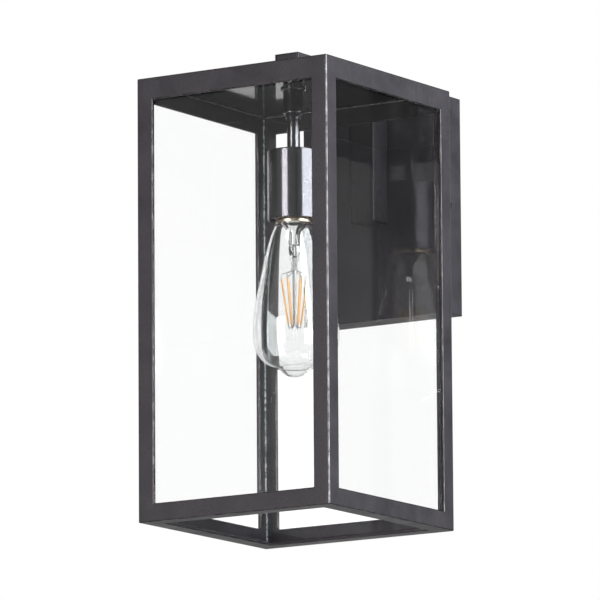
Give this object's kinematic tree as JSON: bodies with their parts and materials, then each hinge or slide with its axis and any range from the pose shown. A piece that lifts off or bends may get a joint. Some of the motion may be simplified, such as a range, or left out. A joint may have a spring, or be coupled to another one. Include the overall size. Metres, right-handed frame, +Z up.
{
  "type": "outdoor wall lantern",
  "caption": "Rectangular glazed box lantern, open below, hung from a square-tube arm on a wall canopy, with one clear filament lamp.",
  "frame": {"origin": "on the wall plane, at the middle of the rear face of the mounting bracket and of the canopy", "axes": "+Z up, +Y into the wall; the lantern stands out towards -Y, +X to the right seen from the front"},
  "size_m": [0.1656, 0.218, 0.3525],
  "materials": {
    "frame_metal": "matt textured dark bronze powder coat, worn a little on the edges",
    "pane_glass": "clear float glass",
    "lamp_glass": "clear blown glass",
    "dark_chrome": "polished black chrome",
    "brass": "rolled brass, bright",
    "zinc_steel": "zinc plated",
    "gasket": "matt black rubber",
    "porcelain": "glazed porcelain",
    "black_glass": "glossy black glass insulator",
    "phosphor": "amber phosphor silicone",
    "lead_black": "black silicone insulation",
    "lead_white": "white silicone insulation",
    "earth_green": "green",
    "connector_orange": "moulded orange plastic"
  },
  "bodies": {
    "lantern": {"arm_beam": "frame_metal", "arm_riser": "frame_metal", "beam_end_cap": "frame_metal", "bottom_rail_back": "frame_metal", "bottom_rail_front": "frame_metal", "bottom_rail_left": "frame_metal", "bottom_rail_right": "frame_metal", "canopy": "frame_metal", "ceiling_collar": "dark_chrome", "centre_contact": "brass", "coupling": "dark_chrome", "ground_screw": "earth_green", "lead_earth": "earth_green", "lead_live": "lead_black", "lead_neutral": "lead_white", "mounting_bracket": "zinc_steel", "nipple_nut": "zinc_steel", "nipple_washer": "zinc_steel", "pane_back": "pane_glass", "pane_front": "pane_glass", "pane_left": "pane_glass", "pane_right": "pane_glass", "post_back_left": "frame_metal", "post_back_right": "frame_metal", "post_front_left": "frame_metal", "post_front_right": "frame_metal", "riser_end_cap": "frame_metal", "roof_gasket": "gasket", "roof_nipple": "zinc_steel", "roof_plate": "frame_metal", "socket_body": "porcelain", "socket_bridge": "zinc_steel", "socket_cup": "dark_chrome", "socket_nut": "zinc_steel", "socket_shell": "brass", "stem": "dark_chrome", "stem_locknut": "dark_chrome", "terminal_screw_live": "brass", "terminal_screw_neutral": "zinc_steel", "top_rail_back": "frame_metal", "top_rail_front": "frame_metal", "top_rail_left": "frame_metal", "top_rail_right": "frame_metal", "wire_connector_live": "connector_orange", "wire_connector_neutral": "connector_orange"},
    "lamp": {"filament_1": "phosphor", "filament_2": "phosphor", "filament_3": "phosphor", "filament_4": "phosphor", "filament_5": "phosphor", "filament_6": "phosphor", "lamp_base": "brass", "lamp_contact": "zinc_steel", "lamp_glass": "lamp_glass", "lamp_insulator": "black_glass", "lamp_mount": "lamp_glass", "lamp_wire_a": "zinc_steel", "lamp_wire_b": "zinc_steel"},
    "canopy_screw_left": {"canopy_screw_left": "frame_metal"},
    "canopy_screw_right": {"canopy_screw_right": "frame_metal"}
  },
  "joints": [
    {"name": "lamp_out", "type": "slide", "parent": "lantern", "child": "lamp", "axis": [0, 0, -1], "range_m": [0, 0.26]},
    {"name": "canopy_screw_left_out", "type": "slide", "parent": "lantern", "child": "canopy_screw_left", "axis": [-1, 0, 0], "range_m": [0, 0.0085]},
    {"name": "canopy_screw_right_out", "type": "slide", "parent": "lantern", "child": "canopy_screw_right", "axis": [1, 0, 0], "range_m": [0, 0.0085]}
  ]
}
